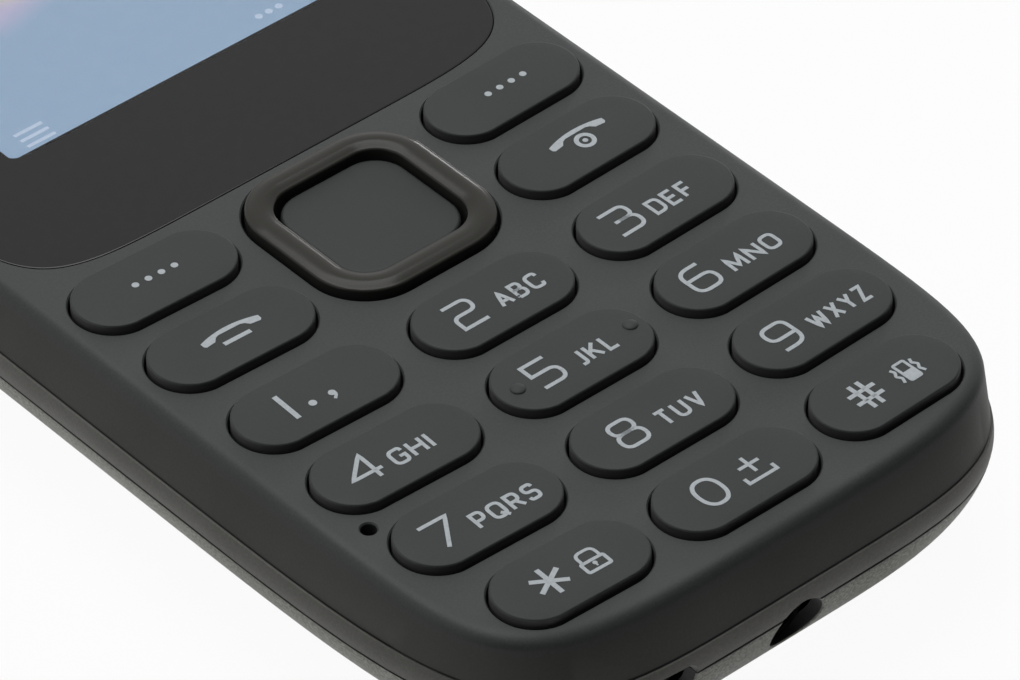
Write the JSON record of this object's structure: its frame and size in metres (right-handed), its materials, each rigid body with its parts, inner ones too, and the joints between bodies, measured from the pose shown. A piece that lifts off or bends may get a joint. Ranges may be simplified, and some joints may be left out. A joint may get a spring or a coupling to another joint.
{
  "type": "feature phone",
  "caption": "Bar phone with a small screen, a rocking navigation ring, sprung pill-shaped keys and a clip-on battery cover over a removable battery.",
  "frame": {"origin": "under the middle of the phone, on the plane that its back rests on", "axes": "+X to the right across the face, +Y up the face to the earpiece, +Z out of the face"},
  "size_m": [0.0494, 0.112, 0.0143],
  "materials": {
    "face_plastic": "matt, finely grained, dark blue-grey",
    "key_plastic": "matt, smooth, dark grey with pale printed legends",
    "lens": "clear acrylic with a dark printed border",
    "tape": "double-sided tape",
    "screen": "lit colour panel",
    "white_plastic": "white moulding",
    "flex": "copper on amber film",
    "dark_metal": "dark mesh",
    "steel": "plain sheet metal",
    "ring": "gunmetal lacquer",
    "silicone": "translucent grey silicone",
    "film": "clear film",
    "board": "green solder mask",
    "black_plastic": "black moulding",
    "gold": "gold plated",
    "battery_wrap": "plain dark wrap",
    "black_rubber": "soft black rubber",
    "band_plastic": "matt dark grey",
    "back_plastic": "matt, finely speckled, warm grey"
  },
  "bodies": {
    "handset": {"front_cover": "face_plastic", "display_lens": "lens", "lens_tape": "tape", "lcd_panel": "screen", "lcd_backlight": "white_plastic", "lcd_flex": "flex", "earpiece_mesh": "dark_metal", "earpiece": "steel", "keypad_mat": "silicone", "dome_film": "film", "metal_domes": "steel", "main_board": "board", "rf_shield": "steel", "baseband_shield": "steel", "sim_holder": "steel", "memory_card_holder": "steel", "battery_connector": "black_plastic", "battery_contacts": "gold", "battery": "battery_wrap", "usb_connector": "steel", "audio_jack": "black_plastic", "microphone": "gold", "mic_boot": "black_rubber", "loudspeaker": "dark_metal", "speaker_gasket": "black_rubber", "vibration_motor": "steel", "antenna": "flex", "housing_screws": "steel", "rear_housing": "band_plastic"},
    "nav_rocker_body": {"nav_rocker": "silicone"},
    "nav_ring_body": {"nav_ring": "ring"},
    "ok_key_body": {"ok_key": "key_plastic"},
    "battery_cover_body": {"battery_cover": "back_plastic"},
    "left_soft_key_body": {"left_soft_key": "key_plastic"},
    "right_soft_key_body": {"right_soft_key": "key_plastic"},
    "call_key_body": {"call_key": "key_plastic"},
    "end_key_body": {"end_key": "key_plastic"},
    "key_1_body": {"key_1": "key_plastic"},
    "key_2_body": {"key_2": "key_plastic"},
    "key_3_body": {"key_3": "key_plastic"},
    "key_4_body": {"key_4": "key_plastic"},
    "key_5_body": {"key_5": "key_plastic"},
    "key_6_body": {"key_6": "key_plastic"},
    "key_7_body": {"key_7": "key_plastic"},
    "key_8_body": {"key_8": "key_plastic"},
    "key_9_body": {"key_9": "key_plastic"},
    "key_star_body": {"key_star": "key_plastic"},
    "key_0_body": {"key_0": "key_plastic"},
    "key_hash_body": {"key_hash": "key_plastic"}
  },
  "joints": [
    {"name": "left_soft_key_press", "type": "slide", "parent": "handset", "child": "left_soft_key_body", "axis": [0, 0, -1], "range_m": [0, 0.00034], "stiffness_N_per_m": 1500, "springref_m": -0.0005},
    {"name": "right_soft_key_press", "type": "slide", "parent": "handset", "child": "right_soft_key_body", "axis": [0, 0, -1], "range_m": [0, 0.00034], "stiffness_N_per_m": 1500, "springref_m": -0.0005},
    {"name": "call_key_press", "type": "slide", "parent": "handset", "child": "call_key_body", "axis": [0, 0, -1], "range_m": [0, 0.00034], "stiffness_N_per_m": 1500, "springref_m": -0.0005},
    {"name": "end_key_press", "type": "slide", "parent": "handset", "child": "end_key_body", "axis": [0, 0, -1], "range_m": [0, 0.00034], "stiffness_N_per_m": 1500, "springref_m": -0.0005},
    {"name": "key_1_press", "type": "slide", "parent": "handset", "child": "key_1_body", "axis": [0, 0, -1], "range_m": [0, 0.00034], "stiffness_N_per_m": 1500, "springref_m": -0.0005},
    {"name": "key_2_press", "type": "slide", "parent": "handset", "child": "key_2_body", "axis": [0, 0, -1], "range_m": [0, 0.00034], "stiffness_N_per_m": 1500, "springref_m": -0.0005},
    {"name": "key_3_press", "type": "slide", "parent": "handset", "child": "key_3_body", "axis": [0, 0, -1], "range_m": [0, 0.00034], "stiffness_N_per_m": 1500, "springref_m": -0.0005},
    {"name": "key_4_press", "type": "slide", "parent": "handset", "child": "key_4_body", "axis": [0, 0, -1], "range_m": [0, 0.00034], "stiffness_N_per_m": 1500, "springref_m": -0.0005},
    {"name": "key_5_press", "type": "slide", "parent": "handset", "child": "key_5_body", "axis": [0, 0, -1], "range_m": [0, 0.00034], "stiffness_N_per_m": 1500, "springref_m": -0.0005},
    {"name": "key_6_press", "type": "slide", "parent": "handset", "child": "key_6_body", "axis": [0, 0, -1], "range_m": [0, 0.00034], "stiffness_N_per_m": 1500, "springref_m": -0.0005},
    {"name": "key_7_press", "type": "slide", "parent": "handset", "child": "key_7_body", "axis": [0, 0, -1], "range_m": [0, 0.00034], "stiffness_N_per_m": 1500, "springref_m": -0.0005},
    {"name": "key_8_press", "type": "slide", "parent": "handset", "child": "key_8_body", "axis": [0, 0, -1], "range_m": [0, 0.00034], "stiffness_N_per_m": 1500, "springref_m": -0.0005},
    {"name": "key_9_press", "type": "slide", "parent": "handset", "child": "key_9_body", "axis": [0, 0, -1], "range_m": [0, 0.00034], "stiffness_N_per_m": 1500, "springref_m": -0.0005},
    {"name": "key_star_press", "type": "slide", "parent": "handset", "child": "key_star_body", "axis": [0, 0, -1], "range_m": [0, 0.00034], "stiffness_N_per_m": 1500, "springref_m": -0.0005},
    {"name": "key_0_press", "type": "slide", "parent": "handset", "child": "key_0_body", "axis": [0, 0, -1], "range_m": [0, 0.00034], "stiffness_N_per_m": 1500, "springref_m": -0.0005},
    {"name": "key_hash_press", "type": "slide", "parent": "handset", "child": "key_hash_body", "axis": [0, 0, -1], "range_m": [0, 0.00034], "stiffness_N_per_m": 1500, "springref_m": -0.0005},
    {"name": "ok_key_press", "type": "slide", "parent": "handset", "child": "ok_key_body", "axis": [0, 0, -1], "range_m": [0, 0.00034], "stiffness_N_per_m": 1500, "springref_m": -0.0005},
    {"name": "nav_tilt_up_down", "type": "hinge", "parent": "handset", "child": "nav_rocker_body", "pos_m": [0, -0.0131, 0.01069], "axis": [1, 0, 0], "range_deg": [-1.5, 1.5], "stiffness_Nm_per_rad": 0.28},
    {"name": "nav_tilt_left_right", "type": "hinge", "parent": "nav_rocker_body", "child": "nav_ring_body", "pos_m": [0, -0.0131, 0.01069], "axis": [0, 1, 0], "range_deg": [-1.5, 1.5], "stiffness_Nm_per_rad": 0.28},
    {"name": "battery_cover_off", "type": "slide", "parent": "handset", "child": "battery_cover_body", "axis": [0, 0, -1], "range_m": [0, 0.02]}
  ]
}
